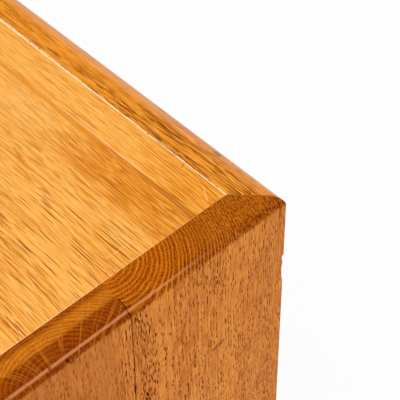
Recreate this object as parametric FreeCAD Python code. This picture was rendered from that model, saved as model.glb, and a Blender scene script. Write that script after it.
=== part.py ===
import FreeCAD
import Part
import os

# A single pedestal writing desk in solid and veneered oak.
# Two solid end panels with upright grain run from the floor to the top surface, where their end grain
# shows as a border.  A front rail and a back apron are mitred into them, and the top is let in flush
# inside that frame.  Side hung drawers with dovetailed boxes run on wooden runners housed in the carcass.
# Millimetres.  +X to the sitter's right, the fronts face -Y, +Z up, with the floor at Z = 0.

V = FreeCAD.Vector

# Overall size of the carcass, without the pulls
desk_width = 1200.0
desk_depth = 620.0
desk_height = 730.0

# Border that frames the top
border = 22.0
edge_radius = 8.0
arris_radius = 1.5
rail_height = 34.0
apron_height = 150.0

# Top board
top_thickness = 22.0
strip_width = 22.0
top_tongue_length = 8.0
top_tongue_thickness = 8.0
top_tongue_stop = 12.0

# Pedestal
pedestal_clear_width = 366.0
pedestal_side_thickness = 20.0
bottom_thickness = 18.0
bottom_tongue_length = 7.0
bottom_tongue_thickness = 8.0
bottom_tongue_stop = 10.0
plinth_height = 74.0
plinth_thickness = 18.0
plinth_front_setback = 40.0
plinth_tenon_length = 8.0
plinth_tenon_thickness = 8.0
plinth_tenon_stop = 10.0
back_board_thickness = 6.0
back_board_setback = 8.0
back_board_groove = 6.0
groove_play = 0.1
groove_end_play = 0.5

# Floor glides
glide_thickness = 4.0
glide_radius = 11.0
glide_edge = 1.5
glide_tang_width = 2.6
glide_tang_length = 16.0
glide_plinth_gap = 4.0

# Mitre splines
spline_thickness = 4.0
spline_depth = 8.0
spline_stop = 9.0
spline_inset = 3.0

# Dowels
dowel_radius = 4.0
dowel_bite = 13.0
dowel_play = 0.05
dowel_end_play = 1.0
dowel_edge = 36.0

# Glue blocks under the top
glue_block_leg = 11.0
glue_block_length = 70.0
glue_block_pitch = 190.0

# Drawer stack
front_setback = 1.0
drawer_gap = 2.5
drawer_side_gap = 1.5
top_drawer_height = 100.0
second_drawer_height = 135.0
third_drawer_height = 157.5
drawer_rear_gap = 20.0

# Drawer box
front_thickness = 20.0
front_arris = 1.0
front_lap = 6.0
side_thickness = 13.0
side_drop_below_face = 5.0
side_drop_above_face = 4.0
back_thickness = 12.0
back_drop = 6.0
bottom_board_thickness = 5.0
bottom_board_rise = 8.0
bottom_board_bite = 5.0
bottom_board_play = 0.2
muntin_width = 40.0

# Dovetails
tail_pitch = 34.0
tail_slope = 7.0
pin_width = 7.0

# Runners
runner_height = 14.0
runner_projection = 8.0
runner_housing = 2.5
runner_side_play = 0.5
runner_top_play = 0.3
runner_bottom_play = 0.7
runner_end_play = 0.5
runner_stop = 14.0
runner_rear_gap = 12.0

# Pulls
pull_length = 112.0
pull_height = 21.0
pull_reach = 28.0
pull_end_height = 14.0
pull_end_bulge = 3.0
pull_top_fall = 2.0
pull_nose_drop = 9.5
pull_lip_back = 3.0
pull_lip_width = 4.5
pull_lip_rise = 4.5
pull_scoop_rise = 9.5
pull_stem = 6.5
pull_heel = 2.0
pull_tenon_width = 64.0
pull_tenon_height = 8.0
pull_tenon_length = 12.0
pull_tenon_drop = 1.5

# Planes that the pieces share
x_end = desk_width / 2.0
x_in = x_end - border
y_front = pull_reach / 2.0 - front_setback / 2.0 - desk_depth / 2.0
y_back = y_front + desk_depth
y_rail = y_front + border
y_apron = y_back - border
z_foot = glide_thickness
z_top = desk_height
z_under_top = z_top - top_thickness
z_rail = z_top - rail_height
z_apron = z_top - apron_height
x_pedestal_in = x_in - pedestal_clear_width
x_pedestal_out = x_pedestal_in - pedestal_side_thickness
z_bottom = z_foot + plinth_height
z_bottom_top = z_bottom + bottom_thickness
y_back_board = y_back - back_board_setback - back_board_thickness
y_drawer_face = y_front + front_setback
y_drawer_inner = y_drawer_face + front_thickness
y_drawer_rear = y_apron - drawer_rear_gap


def block(x0, x1, y0, y1, z0, z1):
    return Part.makeBox(x1 - x0, y1 - y0, z1 - z0, V(x0, y0, z0))


def prism(points, direction):
    face = Part.Face(Part.makePolygon(points + [points[0]]))
    return face.extrude(direction)


def rod(start, direction, radius, length):
    return Part.makeCylinder(radius, length, start, direction)


def joined(shapes):
    return shapes[0] if len(shapes) == 1 else shapes[0].fuse(shapes[1:]).removeSplitter()


def without(shape, tools):
    return shape.cut(Part.makeCompound(tools)) if tools else shape


def grouped(shapes):
    return Part.makeCompound(shapes)


# The softened outer form of the carcass

def rounded_top_section(low, high, place):
    """Section with both upper corners rounded; place turns (across, up) into a point."""
    slack = edge_radius * (1.0 - 0.5 ** 0.5)
    corners = [
        place(low, z_foot),
        place(low, z_top - edge_radius),
        place(low + edge_radius, z_top),
        place(high - edge_radius, z_top),
        place(high, z_top - edge_radius),
        place(high, z_foot),
    ]
    left_middle = place(low + slack, z_top - slack)
    right_middle = place(high - slack, z_top - slack)
    edges = [
        Part.makeLine(corners[0], corners[1]),
        Part.Arc(corners[1], left_middle, corners[2]).toShape(),
        Part.makeLine(corners[2], corners[3]),
        Part.Arc(corners[3], right_middle, corners[4]).toShape(),
        Part.makeLine(corners[4], corners[5]),
        Part.makeLine(corners[5], corners[0]),
    ]
    return Part.Face(Part.Wire(edges))


def softened_form():
    """Whole outer form: the ends and the long edges roll over at the top and meet in a mitre."""
    across = rounded_top_section(-x_end, x_end, lambda a, z: V(a, y_front, z))
    along = rounded_top_section(y_front, y_back, lambda a, z: V(-x_end, a, z))
    upright = block(-x_end, x_end, y_front, y_back, z_foot, z_top)
    corners = [e for e in upright.Edges if abs(e.tangentAt(0).z) > 0.99]
    upright = upright.makeFillet(arris_radius, corners)
    return upright.common(across.extrude(V(0, desk_depth, 0))).common(along.extrude(V(desk_width, 0, 0)))


form = softened_form()


# Frame: end panels, front rail and back apron

def frame_piece(y_inner, y_outer, z_low):
    """Mitred member between the end panels, with its outer face at y_outer."""
    points = [
        V(-x_end, y_outer, z_low),
        V(x_end, y_outer, z_low),
        V(x_in, y_inner, z_low),
        V(-x_in, y_inner, z_low),
    ]
    return prism(points, V(0, 0, z_top - z_low)).common(form)


def spline(side, y_inner, y_outer, z_low, play):
    """Loose plywood spline laid across one mitre, square to the mitre face."""
    middle = V(side * (x_in + x_end) / 2.0, (y_inner + y_outer) / 2.0, 0)
    outward = 1.0 if y_outer > y_inner else -1.0
    along = V(side, outward, 0).normalize()
    across = V(-side, outward, 0).normalize()
    middle = middle - along * spline_inset
    a = along * (spline_thickness / 2.0 + play)
    b = across * (spline_depth + play)
    bottom = V(0, 0, z_low + spline_stop - play)
    points = [middle - a - b + bottom, middle + a - b + bottom, middle + a + b + bottom, middle - a + b + bottom]
    tall = z_top - edge_radius - spline_stop - z_low - spline_stop
    return prism(points, V(0, 0, tall + 2.0 * play))


mitres = [(side, y_in_, y_out, z) for side in (-1, 1)
          for y_in_, y_out, z in ((y_rail, y_front, z_rail), (y_apron, y_back, z_apron))]
splines = [spline(side, y_in_, y_out, z, 0.0) for side, y_in_, y_out, z in mitres]
spline_slots = [spline(side, y_in_, y_out, z, groove_play) for side, y_in_, y_out, z in mitres]

rail_blank = frame_piece(y_rail, y_front, z_rail)
apron_blank = frame_piece(y_apron, y_back, z_apron)


# Top board and its tongues

def top_tongue(side, play, end_play):
    """Tongue on one end of the top field, or with play the groove for it."""
    middle = z_under_top + top_thickness / 2.0
    half = top_tongue_thickness / 2.0 + play
    reach = top_tongue_length + end_play
    stop = top_tongue_stop - end_play
    x0, x1 = sorted((side * (x_in - end_play), side * (x_in + reach)))
    y0 = y_rail + strip_width + stop
    y1 = y_apron - strip_width - stop
    return block(x0, x1, y0, y1, middle - half, middle + half)


top_field = block(-x_in, x_in, y_rail + strip_width, y_apron - strip_width, z_under_top, z_top)
top_field = joined([top_field, top_tongue(-1, 0.0, 0.0), top_tongue(1, 0.0, 0.0)])
top_strip_front = block(-x_in, x_in, y_rail, y_rail + strip_width, z_under_top, z_top)
top_strip_back = block(-x_in, x_in, y_apron - strip_width, y_apron, z_under_top, z_top)


# Pedestal bottom, back board and plinths

def bottom_tongue(side, play, end_play):
    """Tongue on one end of the pedestal bottom, or with play the groove for it."""
    middle = z_bottom + bottom_thickness / 2.0
    half = bottom_tongue_thickness / 2.0 + play
    reach = bottom_tongue_length + end_play
    stop = bottom_tongue_stop - end_play
    if side > 0:
        x0, x1 = x_in - end_play, x_in + reach
    else:
        x0, x1 = x_pedestal_in - reach, x_pedestal_in + end_play
    return block(x0, x1, y_drawer_face + stop, y_back_board - stop, middle - half, middle + half)


pedestal_bottom = block(x_pedestal_in, x_in, y_drawer_face, y_back_board, z_bottom, z_bottom_top)
pedestal_bottom = joined([pedestal_bottom, bottom_tongue(-1, 0.0, 0.0), bottom_tongue(1, 0.0, 0.0)])


def back_board_form(play, end_play):
    """Back board with its edges in the grooves, or with play the space for it."""
    bite = back_board_groove - groove_end_play + end_play
    return block(x_pedestal_in - bite, x_in + bite, y_back_board - play,
                 y_back_board + back_board_thickness + play, z_bottom, z_apron + bite)


back_board = back_board_form(0.0, 0.0)
back_board_groove_form = back_board_form(groove_play, groove_end_play)

y_plinth = y_front + plinth_front_setback
y_plinth_back = y_back_board - plinth_thickness


def plinth_tenons(y, play, end_play):
    """Stub tenons through both ends of a plinth whose front face is at y, or with play their mortises."""
    middle = y + plinth_thickness / 2.0
    half = plinth_tenon_thickness / 2.0 + play
    reach = plinth_tenon_length + end_play
    stop = plinth_tenon_stop - end_play
    return block(x_pedestal_in - reach, x_in + reach, middle - half, middle + half, z_foot + stop, z_bottom - stop)


def plinth(y):
    board = block(x_pedestal_in, x_in, y, y + plinth_thickness, z_foot, z_bottom)
    return joined([board, plinth_tenons(y, 0.0, 0.0)])


plinth_front = plinth(y_plinth)
plinth_back = plinth(y_plinth_back)
plinth_mortises = [plinth_tenons(y, groove_play, groove_end_play) for y in (y_plinth, y_plinth_back)]


# Dowels that pin the pedestal side to the rail and to the apron

def dowel(centre, play=0.0, end_play=0.0):
    """Dowel laid front to back through a joint, or with play the hole for it."""
    half = dowel_bite + end_play
    return rod(centre - V(0, half, 0), V(0, 1, 0), dowel_radius + play, 2.0 * half)


def dowel_places():
    """One dowel behind the rail, two ahead of the apron, each centred on the joint."""
    x = (x_pedestal_in + x_pedestal_out) / 2.0
    places = [V(x, y_rail, (z_rail + z_under_top) / 2.0)]
    return places + [V(x, y_apron, z) for z in (z_apron + dowel_edge, z_under_top - dowel_edge)]


dowels = [dowel(centre) for centre in dowel_places()]
dowel_holes = [dowel(centre, dowel_play, dowel_end_play) for centre in dowel_places()]


# Triangular glue blocks in the corner between the top and the frame

def glue_block(x, y_face, inward):
    """Block centred at x against the frame's inner face; inward is +1 behind the rail, -1 ahead of the apron."""
    x0 = x - glue_block_length / 2.0
    points = [
        V(x0, y_face, z_under_top),
        V(x0, y_face + inward * glue_block_leg, z_under_top),
        V(x0, y_face, z_under_top - glue_block_leg),
    ]
    return prism(points, V(glue_block_length, 0, 0))


def block_row(x_low, x_high):
    """Centres of as many evenly spaced blocks as the pitch allows between two sides."""
    count = max(1, int((x_high - x_low) // glue_block_pitch))
    share = (x_high - x_low) / count
    return [x_low + share * (i + 0.5) for i in range(count)]


glue_blocks = [glue_block(x, y_face, inward)
               for x in block_row(-x_in, x_pedestal_out) + block_row(x_pedestal_in, x_in)
               for y_face, inward in ((y_rail, 1), (y_apron, -1))]


# Floor glides

def glide_tang(x, y, play=0.0, end_play=0.0):
    """Square tang that holds a glide in the panel's lower edge, or with play the hole for it."""
    half = glide_tang_width / 2.0 + play
    return block(x - half, x + half, y - half, y + half, z_foot, z_foot + glide_tang_length + end_play)


def glide(x, y):
    disc = Part.makeCylinder(glide_radius, glide_thickness, V(x, y, 0))
    rim = [e for e in disc.Edges if e.BoundBox.ZMax < 0.001]
    return joined([disc.makeChamfer(glide_edge, rim), glide_tang(x, y)])


glide_rows = (-x_end + border / 2.0, (x_pedestal_in + x_pedestal_out) / 2.0, x_end - border / 2.0)
glide_front = y_plinth + plinth_thickness + glide_plinth_gap + glide_radius
glide_rear = y_plinth_back - glide_plinth_gap - glide_radius
glide_places = [(x, y) for x in glide_rows for y in (glide_front, glide_rear)]
glides = [glide(x, y) for x, y in glide_places]
glide_holes = [glide_tang(x, y, dowel_play, dowel_end_play) for x, y in glide_places]


# Drawer layout: name, left and right face of the opening, lower edge and height of the drawer face, pulls

def drawer_layout():
    top_low = z_rail - drawer_gap - top_drawer_height
    second_low = top_low - drawer_gap - second_drawer_height
    third_low = second_low - drawer_gap - third_drawer_height
    fourth_low = z_bottom_top + drawer_gap
    fourth_height = third_low - drawer_gap - fourth_low
    return [
        ("wide_drawer", -x_in, x_pedestal_out, top_low, top_drawer_height, 2),
        ("top_drawer", x_pedestal_in, x_in, top_low, top_drawer_height, 1),
        ("second_drawer", x_pedestal_in, x_in, second_low, second_drawer_height, 1),
        ("third_drawer", x_pedestal_in, x_in, third_low, third_drawer_height, 1),
        ("deep_drawer", x_pedestal_in, x_in, fourth_low, fourth_height, 1),
    ]


def runner_level(z_low, face_height):
    """Underside of the runner: the groove lies at half the height of the drawer side."""
    side_low = z_low + side_drop_below_face
    side_high = z_low + face_height - side_drop_above_face
    return (side_low + side_high - runner_height) / 2.0


y_runner_front = y_drawer_inner + runner_stop + runner_end_play
y_runner_back = y_apron - runner_rear_gap


def round_nosed_bar(x0, x1, y_nose, y_tail, z_low, z_high):
    """Bar along Y with a half round front end, the shape that a cutter leaves at the end of a groove."""
    radius = (z_high - z_low) / 2.0
    y_spring = y_nose + radius
    edges = [
        Part.makeLine(V(x0, y_spring, z_high), V(x0, y_tail, z_high)),
        Part.makeLine(V(x0, y_tail, z_high), V(x0, y_tail, z_low)),
        Part.makeLine(V(x0, y_tail, z_low), V(x0, y_spring, z_low)),
        Part.Arc(V(x0, y_spring, z_low), V(x0, y_nose, z_low + radius), V(x0, y_spring, z_high)).toShape(),
    ]
    return Part.Face(Part.Wire(edges)).extrude(V(x1 - x0, 0, 0))


def runner(x_face, direction, z, play=0.0):
    """Runner let into the carcass face x_face, or with play its housing; direction points into the carcass."""
    exposed = x_face - direction * runner_projection
    buried = x_face + direction * (runner_housing + play)
    x0, x1 = sorted((exposed, buried))
    return round_nosed_bar(x0, x1, y_runner_front, y_runner_back, z, z + runner_height)


runners = {}
runner_housings = []
for drawer_name, x_left, x_right, z_low, face_height, pulls in drawer_layout():
    level = runner_level(z_low, face_height)
    for hand, x_face, direction in (("left", x_left, -1), ("right", x_right, 1)):
        runners[drawer_name + "_runner_" + hand] = runner(x_face, direction, level)
        runner_housings.append(runner(x_face, direction, level, groove_play))


# Carcass members with their joints cut

def notch_for(shape):
    """Bounding block of a frame member, used to let the pedestal side in round it."""
    b = shape.BoundBox
    return block(b.XMin, b.XMax, b.YMin, b.YMax, b.ZMin, b.ZMax)


def end_panel(side):
    x0, x1 = sorted((side * x_in, side * x_end))
    blank = block(x0, x1, y_front, y_back, z_foot, z_top).common(form)
    tools = [rail_blank, apron_blank, top_tongue(side, groove_play, groove_end_play)]
    tools += spline_slots + glide_holes + runner_housings
    if side > 0:
        tools += plinth_mortises + [bottom_tongue(1, groove_play, groove_end_play), back_board_groove_form]
    near = [t for t in tools if t.BoundBox.intersect(blank.BoundBox)]
    return without(blank, near)


end_panel_left = end_panel(-1)
end_panel_right = end_panel(1)

pedestal_side = block(x_pedestal_out, x_pedestal_in, y_front, y_back, z_foot, z_under_top)
pedestal_side = without(pedestal_side, [
    notch_for(rail_blank), notch_for(apron_blank), bottom_tongue(-1, groove_play, groove_end_play),
    back_board_groove_form] + [t for t in glide_holes + runner_housings + dowel_holes + plinth_mortises
                               if t.BoundBox.intersect(pedestal_side.BoundBox)])

front_rail = without(rail_blank, spline_slots + dowel_holes)
back_apron = without(apron_blank, spline_slots + dowel_holes + [back_board_groove_form])


# Drawer box with dovetailed corners

def tail_gaps(x0, x1, y_end, y_base, z_low, z_high):
    """Pin spaces between the tails on one end of a drawer side, narrow at y_end and wide at y_base."""
    count = max(2, round((z_high - z_low) / tail_pitch))
    pitch = (z_high - z_low) / count
    narrow = pin_width / 2.0
    wide = narrow + abs(y_base - y_end) / tail_slope
    gaps = []
    for i in range(count + 1):
        z = z_low + i * pitch
        points = [(y_end, z - narrow), (y_base, z - wide), (y_base, z + wide), (y_end, z + narrow)]
        corners = [V(x0, y, min(max(level_, z_low), z_high)) for y, level_ in points]
        gaps.append(prism(corners, V(x1 - x0, 0, 0)))
    return gaps


def pull_section():
    """Side view of a pull as a face at x = 0; u runs out from the drawer face, v up from the pull's middle."""
    half = pull_height / 2.0
    lip_tip = pull_reach - pull_lip_back
    lip_low = -half + pull_lip_rise

    def at(u, v):
        return V(0, -u, v)

    top_inner = at(0, half)
    top_outer = at(pull_reach - pull_nose_drop + 3.0, half - pull_top_fall)
    nose = at(pull_reach, half - pull_nose_drop)
    lip_outer = at(lip_tip, lip_low)
    lip_inner = at(lip_tip - pull_lip_width, lip_low)
    scoop_top = at((lip_tip - pull_lip_width + pull_stem) / 2.0, lip_low + pull_scoop_rise)
    stem_outer = at(pull_stem, lip_low)
    heel = at(pull_stem - pull_heel, -half)
    bottom_inner = at(0, -half)
    edges = [
        Part.makeLine(top_inner, top_outer),
        Part.Arc(top_outer, nose, lip_outer).toShape(),
        Part.makeLine(lip_outer, lip_inner),
        Part.Arc(lip_inner, scoop_top, stem_outer).toShape(),
        Part.makeLine(stem_outer, heel),
        Part.makeLine(heel, bottom_inner),
        Part.makeLine(bottom_inner, top_inner),
    ]
    return Part.Face(Part.Wire(edges))


def pull_outline():
    """Front view of a pull as a face at y = 0: barrel shaped, lower at its ends than in the middle."""
    x = pull_length / 2.0 - pull_end_bulge
    half = pull_height / 2.0
    end = pull_end_height / 2.0
    edges = [
        Part.Arc(V(-x, 0, end), V(0, 0, half), V(x, 0, end)).toShape(),
        Part.Arc(V(x, 0, end), V(x + pull_end_bulge, 0, 0), V(x, 0, -end)).toShape(),
        Part.Arc(V(x, 0, -end), V(0, 0, -half), V(-x, 0, -end)).toShape(),
        Part.Arc(V(-x, 0, -end), V(-x - pull_end_bulge, 0, 0), V(-x, 0, end)).toShape(),
    ]
    return Part.Face(Part.Wire(edges))


pull_bar = pull_section().extrude(V(pull_length, 0, 0)).translated(V(-pull_length / 2.0, 0, 0))
pull_bar = pull_bar.common(pull_outline().extrude(V(0, -pull_reach, 0)))


def pull_tenon(x, z, play=0.0, end_play=0.0):
    """Tenon on the back of a pull, or with play the mortise for it in the drawer front."""
    half = pull_tenon_width / 2.0 + play
    middle = z - pull_tenon_drop
    rise = pull_tenon_height / 2.0 + play
    return block(x - half, x + half, y_drawer_face, y_drawer_face + pull_tenon_length + end_play,
                 middle - rise, middle + rise)


def pull(x, z):
    return joined([pull_bar.translated(V(x, y_drawer_face, z)), pull_tenon(x, z)])


def pull_places(x_left, x_right, z_low, face_height, count):
    """Pulls sit at the middle of their share of the face, a little above half its height on the deep faces."""
    share = (x_right - x_left) / count
    z = z_low + max(face_height / 2.0, face_height - top_drawer_height / 2.0 - pull_height / 2.0)
    return [(x_left + share * (i + 0.5), z) for i in range(count)]


def drawer(x_left, x_right, z_low, face_height, pulls):
    """Pieces of one drawer that hangs between the carcass faces x_left and x_right."""
    x0 = x_left + drawer_side_gap
    x1 = x_right - drawer_side_gap
    side_low = z_low + side_drop_below_face
    side_high = z_low + face_height - side_drop_above_face
    y_tail = y_drawer_face + front_lap
    board_low = side_low + bottom_board_rise
    board_high = board_low + bottom_board_thickness
    back_high = side_high - back_drop
    level = runner_level(z_low, face_height)
    groove_depth = runner_projection - drawer_side_gap + runner_side_play
    sides = {}
    grooves = {}
    for hand, a, b in (("left", x0, x0 + side_thickness), ("right", x1 - side_thickness, x1)):
        blank = block(a, b, y_tail, y_drawer_rear, side_low, side_high)
        gaps = tail_gaps(a, b, y_tail, y_drawer_inner, side_low, side_high)
        gaps += tail_gaps(a, b, y_drawer_rear, y_drawer_rear - back_thickness, board_high, back_high)
        sides[hand] = without(blank, gaps)
        g0, g1 = (a, a + groove_depth) if hand == "left" else (b - groove_depth, b)
        grooves[hand] = round_nosed_bar(g0, g1, y_drawer_inner + runner_stop, y_drawer_rear,
                                        level - runner_bottom_play, level + runner_height + runner_top_play)

    inner_left = x0 + side_thickness - bottom_board_bite
    inner_right = x1 - side_thickness + bottom_board_bite
    board = block(inner_left + bottom_board_play, inner_right - bottom_board_play,
                  y_drawer_inner - bottom_board_bite + bottom_board_play, y_drawer_rear, board_low, board_high)
    board_groove = block(inner_left, inner_right, y_drawer_inner - bottom_board_bite, y_drawer_rear,
                         board_low, board_high)

    front = block(x0, x1, y_drawer_face, y_drawer_inner, z_low, z_low + face_height)
    outer = [e for e in front.Edges if e.BoundBox.YMax < y_drawer_face + 0.001]
    front = front.makeFillet(front_arris, outer)
    places = pull_places(x_left, x_right, z_low, face_height, pulls)
    mortises = [pull_tenon(x, z, groove_play, groove_end_play) for x, z in places]
    front = without(front, [sides["left"], sides["right"], board_groove] + mortises)
    back = block(x0, x1, y_drawer_rear - back_thickness, y_drawer_rear, board_high, back_high)
    back = without(back, [sides["left"], sides["right"], grooves["left"], grooves["right"]])

    pieces = {
        "front": front,
        "side_left": without(sides["left"], [grooves["left"], board_groove]),
        "side_right": without(sides["right"], [grooves["right"], board_groove]),
        "back": back,
        "bottom": board,
    }
    pull_names = ["pull"] if pulls == 1 else ["pull_left", "pull_right"]
    for name, (x, z) in zip(pull_names, places):
        pieces[name] = pull(x, z)
    if pulls > 1:
        middle = (x0 + x1) / 2.0
        pieces["muntin"] = block(middle - muntin_width / 2.0, middle + muntin_width / 2.0,
                                 y_drawer_inner, y_drawer_rear, side_low, board_low)
    return pieces


nodes = {
    "end_panel_left": end_panel_left,
    "end_panel_right": end_panel_right,
    "front_rail": front_rail,
    "back_apron": back_apron,
    "mitre_splines": grouped(splines),
    "top_field": top_field,
    "top_strip_front": top_strip_front,
    "top_strip_back": top_strip_back,
    "pedestal_side": pedestal_side,
    "pedestal_bottom": pedestal_bottom,
    "pedestal_back_board": back_board,
    "plinth_front": plinth_front,
    "plinth_back": plinth_back,
    "carcass_dowels": grouped(dowels),
    "glue_blocks": grouped(glue_blocks),
    "floor_glides": grouped(glides),
}
nodes.update(runners)
for drawer_name, x_left, x_right, z_low, face_height, pulls in drawer_layout():
    for piece_name, shape in drawer(x_left, x_right, z_low, face_height, pulls).items():
        nodes[drawer_name + "_" + piece_name] = shape

os.makedirs("parts", exist_ok=True)
for node_name, shape in nodes.items():
    shape.exportStep("parts/" + node_name + ".step")
print(len(nodes), "nodes written")
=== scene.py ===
# %% [markdown]
# # A writing desk in oak
#
# The desk is a case of solid oak boards with a flush top, rolled upper edges and five dovetailed drawers.
# This script gives the boards their finish, remakes the ones whose rolled edges are seen from close by, and
# adds small things such as the pins under the drawers.

# %% Load the frame
import math

import bmesh
import bpy
from mathutils import Matrix, Vector


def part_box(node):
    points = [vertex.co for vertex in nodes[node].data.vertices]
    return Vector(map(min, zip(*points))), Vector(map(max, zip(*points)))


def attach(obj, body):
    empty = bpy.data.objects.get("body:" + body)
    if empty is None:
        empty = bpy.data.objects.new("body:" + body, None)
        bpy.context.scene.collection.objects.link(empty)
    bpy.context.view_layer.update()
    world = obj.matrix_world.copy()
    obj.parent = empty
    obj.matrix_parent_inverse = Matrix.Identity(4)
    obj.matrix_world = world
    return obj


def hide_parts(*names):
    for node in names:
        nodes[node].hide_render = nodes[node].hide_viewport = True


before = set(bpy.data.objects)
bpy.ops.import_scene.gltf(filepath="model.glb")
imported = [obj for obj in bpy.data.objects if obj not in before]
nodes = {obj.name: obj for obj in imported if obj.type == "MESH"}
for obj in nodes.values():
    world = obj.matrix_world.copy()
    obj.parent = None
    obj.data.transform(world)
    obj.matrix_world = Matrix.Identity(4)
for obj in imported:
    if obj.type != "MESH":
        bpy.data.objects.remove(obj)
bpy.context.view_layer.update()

# %% [markdown]
# ## Where things are
#
# Places on the desk are worked out from its boards, so that the script still fits when the desk changes
# size.  The camera looks at the right rear corner.  The places of its marks are given from the inner corner
# of the border, where the lines of the end panel and the back apron cross on the top.

# %% Measures of the desk, read from its boards
MM = 0.001


def mm(length):
    """A length in metres, in millimetres."""
    return length / MM


end_low, end_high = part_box("end_panel_right")
apron_low, apron_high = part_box("back_apron")
rail_low, rail_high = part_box("front_rail")
strip_low, strip_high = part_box("top_strip_back")

TOP_Z, FOOT_Z = end_high.z, end_low.z
OUT_X, IN_X = end_high.x, end_low.x
OUT_Y, IN_Y = apron_high.y, apron_low.y
FRONT_Y, RAIL_Y = rail_low.y, rail_high.y
CORNER = Vector((IN_X, IN_Y, TOP_Z))
SEAM = mm(strip_low.y - strip_high.y)
print("border", round(mm(OUT_X - IN_X), 1), "mm, back strip", round(-SEAM, 1), "mm wide")

# %% [markdown]
# ## The camera
#
# The photograph is taken from about 63 cm with a long lens.  A camera placed by eye would never bring the
# edges to lie on it, so the place was found by fitting the edges of the corner: the two inner lines of the
# border, the far silhouette and the upright one.  It is given from the inner corner of the border.

# %% Camera
PICTURE_SIDE = 400.0
FOCAL_PIXELS = 1230.84
CAMERA_FROM_CORNER = Vector((308.386, -293.576, 470.899)) * MM
AZIMUTH, PITCH, ROLL = (math.radians(a) for a in (-48.258, 48.115, -1.540))

forward = Vector((
    math.sin(AZIMUTH) * math.cos(PITCH), math.cos(AZIMUTH) * math.cos(PITCH), -math.sin(PITCH)))
level = Vector((math.cos(AZIMUTH), -math.sin(AZIMUTH), 0.0))
right = math.cos(ROLL) * level + math.sin(ROLL) * level.cross(forward)
up = right.cross(forward)

camera_data = bpy.data.cameras.new("camera")
camera_data.sensor_width = 36.0
camera_data.lens = camera_data.sensor_width * FOCAL_PIXELS / PICTURE_SIDE
camera = bpy.data.objects.new("camera", camera_data)
bpy.context.scene.collection.objects.link(camera)
turn = Matrix((right, up, -forward)).transposed()
camera.matrix_world = Matrix.Translation(CORNER + CAMERA_FROM_CORNER) @ turn.to_4x4()
bpy.context.scene.camera = camera
print("lens", round(camera_data.lens, 1), "mm, distance", round(CAMERA_FROM_CORNER.length, 3), "m")

# %% [markdown]
# ## Arithmetic on sockets
#
# A wood grain is a formula: distances from the middle of the tree, rounded into rings, with pores scattered
# in them.  Written node by node it fills pages, so a small class wraps a socket and lets `a * b + c` add the
# Math nodes.  Every node comes from one method, `add`, which takes a node's type, its settings and the
# values of its sockets.

# %% Numbers that vary over a surface


class Num:
    """A number that varies over a surface: arithmetic on it adds Math nodes to its material."""

    def __init__(self, shader, socket):
        self.shader = shader
        self.socket = socket

    def __add__(self, other):
        return self.shader.math("ADD", self, other)

    def __radd__(self, other):
        return self.shader.math("ADD", other, self)

    def __sub__(self, other):
        return self.shader.math("SUBTRACT", self, other)

    def __rsub__(self, other):
        return self.shader.math("SUBTRACT", other, self)

    def __mul__(self, other):
        return self.shader.math("MULTIPLY", self, other)

    def __rmul__(self, other):
        return self.shader.math("MULTIPLY", other, self)

    def __truediv__(self, other):
        return self.shader.math("DIVIDE", self, other)

    def __abs__(self):
        return self.shader.math("ABSOLUTE", self)

    def fract(self):
        return self.shader.math("FRACT", self)

    def root(self):
        return self.shader.math("SQRT", self)

    def above(self, edge):
        return self.shader.math("GREATER_THAN", self, edge)

    def ramp(self, start, end, low=0.0, high=1.0):
        """Smooth step: low at start, high at end."""
        step = self.shader.add("ShaderNodeMapRange", {"interpolation_type": "SMOOTHSTEP"},
                               {0: self, 1: start, 2: end, 3: low, 4: high})
        return Num(self.shader, step.outputs[0])

    def near(self, middle, half, soft):
        """1 within half of middle, and a soft fall to 0 outside."""
        return abs(self - middle).ramp(half + soft, half)


def stroke(x, y, start, end, half, soft):
    """1 on a straight mark between two points of a surface, with a soft edge."""
    way = Vector(end) - Vector(start)
    length = way.length
    way.normalize()
    beside = (y - start[1]) * way.x - (x - start[0]) * way.y
    along = (x - start[0]) * way.x + (y - start[1]) * way.y
    return beside.near(0.0, half, soft) * along.near(length / 2.0, length / 2.0, soft)


def oval(x, y, middle, squeeze, outer, inner):
    """1 on a round mark, with a soft fall to 0 between two radii; squeeze makes it narrower in x or y."""
    across, down = x - middle[0], y - middle[1]
    return (across * across * squeeze[0] + down * down * squeeze[1]).root().ramp(outer, inner)


# %% Nodes of a material or of the world
WHITE = (1.0, 1.0, 1.0, 1.0)


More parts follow.
